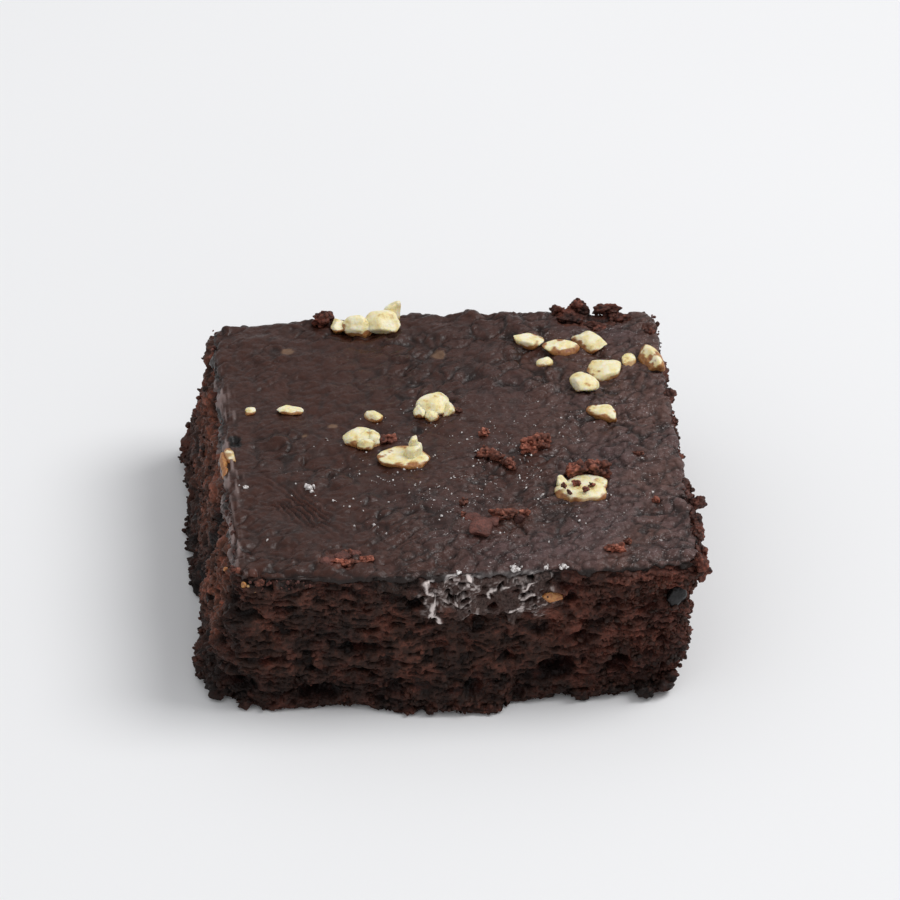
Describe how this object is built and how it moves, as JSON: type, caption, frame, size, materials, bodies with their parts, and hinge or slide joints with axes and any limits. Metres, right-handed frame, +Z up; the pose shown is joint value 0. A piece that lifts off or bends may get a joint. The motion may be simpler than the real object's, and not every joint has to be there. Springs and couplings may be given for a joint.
{
  "type": "chocolate brownie",
  "caption": "Square cut of chocolate brownie with chopped nuts and crumb clumps baked onto its thin skin.",
  "frame": {"origin": "on the flat underside, below the middle of the whole brownie's box", "axes": "+Z up, from the underside to the skin; -Y towards the front cut side, +X towards the right cut side"},
  "size_m": [0.0663, 0.0649, 0.0234],
  "materials": {
    "crumb": "torn, moist dark chocolate crumb, matt with a little gloss in its pores",
    "skin": "thin baked skin, fine leathery dimples and wrinkles with a soft grey sheen",
    "nut": "chopped pale cream nut, waxy broken faces with brown bits of skin at the rims",
    "sugar": "white sugar and fat bloom in fine flecks"
  },
  "bodies": {
    "root": {"brownie": "crumb"}
  },
  "joints": []
}
